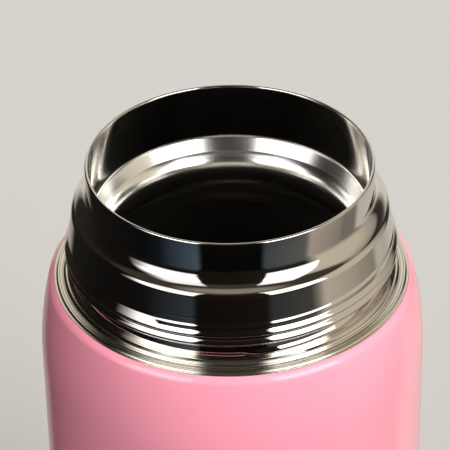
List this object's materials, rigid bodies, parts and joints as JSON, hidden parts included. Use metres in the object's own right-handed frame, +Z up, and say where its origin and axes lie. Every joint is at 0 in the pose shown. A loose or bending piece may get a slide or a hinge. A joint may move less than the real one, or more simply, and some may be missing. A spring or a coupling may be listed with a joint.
{
  "type": "vacuum bottle",
  "caption": "Open double-wall stainless vacuum bottle with a painted body, a mirror steel screw neck and a stepped mouth.",
  "frame": {"origin": "middle of the resting face, on the axis of the bottle", "axes": "+Z up along the axis, towards the mouth; the getter inside the base lies towards +X"},
  "size_m": [0.068, 0.068, 0.16],
  "materials": {
    "pink_paint": "gloss",
    "mirror_steel": "mirror polished",
    "satin_steel": "satin",
    "copper_foil": "bright rolled",
    "sealing_glass": "fused",
    "getter_metal": "sintered",
    "silicone": "matte",
    "adhesive": "matte"
  },
  "bodies": {
    "root": {"outer_shell": "pink_paint", "neck_fitting": "mirror_steel", "inner_liner": "mirror_steel", "liner_base": "mirror_steel", "foil_wrap": "copper_foil", "foil_disc": "copper_foil", "outer_base": "satin_steel", "vacuum_seal": "sealing_glass", "getter": "getter_metal", "getter_clip": "satin_steel", "base_cover": "satin_steel", "pad_adhesive": "adhesive", "base_pad": "silicone"}
  },
  "joints": []
}
